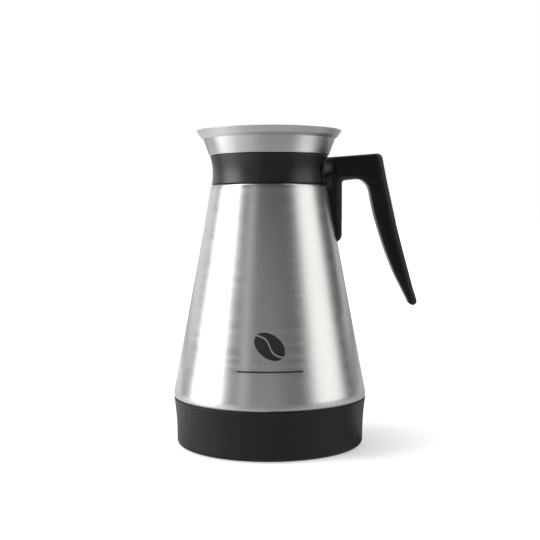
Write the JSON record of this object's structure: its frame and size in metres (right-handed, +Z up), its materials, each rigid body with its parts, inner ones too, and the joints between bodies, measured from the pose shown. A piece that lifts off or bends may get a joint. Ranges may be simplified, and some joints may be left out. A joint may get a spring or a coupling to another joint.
{
  "type": "thermal coffee carafe",
  "caption": "Vacuum-insulated coffee carafe with a conical brushed steel body, flared pour funnel, waisted collar, open hook handle, moulded base and a twist-open brew-through lid.",
  "frame": {"origin": "on the body's axis, in the plane of the foot ring's underside where the carafe stands", "axes": "+Z up along the body's axis to the rim, +X towards the handle, +Y completes a right-handed frame"},
  "size_m": [0.1888, 0.1494, 0.2426],
  "materials": {
    "brushed_steel_body": "brushed round the axis",
    "bright_steel_funnel": "finely brushed round the axis",
    "liner_steel": "satin",
    "plated_hardware": "plated",
    "foil": "bright foil",
    "getter_metal": "matt",
    "solder": "dull",
    "black_handle_plastic": "fine moulded texture",
    "black_collar_plastic": "satin",
    "black_base_plastic": "fine moulded texture",
    "black_lid_plastic": "satin",
    "natural_plastic": "translucent natural",
    "black_rubber": "matt",
    "grey_silicone": "matt",
    "foam": "closed-cell foam"
  },
  "bodies": {
    "vessel": {"outer_shell": "brushed_steel_body", "outer_bottom": "liner_steel", "vacuum_seal_plug": "solder", "inner_liner": "liner_steel", "radiation_foil": "foil", "getter_capsule": "getter_metal", "pour_funnel": "bright_steel_funnel", "neck_collar": "black_collar_plastic", "collar_clamp_plate": "plated_hardware", "handle": "black_handle_plastic", "handle_screw": "plated_hardware", "handle_screw_washer": "plated_hardware", "handle_screw_cap": "black_handle_plastic", "base_cup": "black_base_plastic", "base_seal_ring": "black_rubber", "base_insulation_pad": "foam", "foot_ring": "grey_silicone", "base_bracket": "plated_hardware", "base_screw": "plated_hardware", "base_screw_washer": "plated_hardware", "base_screw_cap": "black_base_plastic"},
    "lid": {"lid_plug": "black_lid_plastic", "lid_plug_bottom": "black_lid_plastic", "lid_insulation": "foam", "lid_gasket": "grey_silicone", "cover_seal_disc": "grey_silicone", "mixing_tube": "natural_plastic"},
    "turning_cover": {"lid_cover": "black_lid_plastic", "cover_retaining_ring": "plated_hardware"}
  },
  "joints": [
    {"name": "lid_lift", "type": "slide", "parent": "vessel", "child": "lid", "axis": [0, 0, 1], "range_m": [0, 0.215]},
    {"name": "lid_turn", "type": "hinge", "parent": "lid", "child": "turning_cover", "pos_m": [0, 0, 0.229], "axis": [0, 0, 1], "range_deg": [0, 90]}
  ]
}
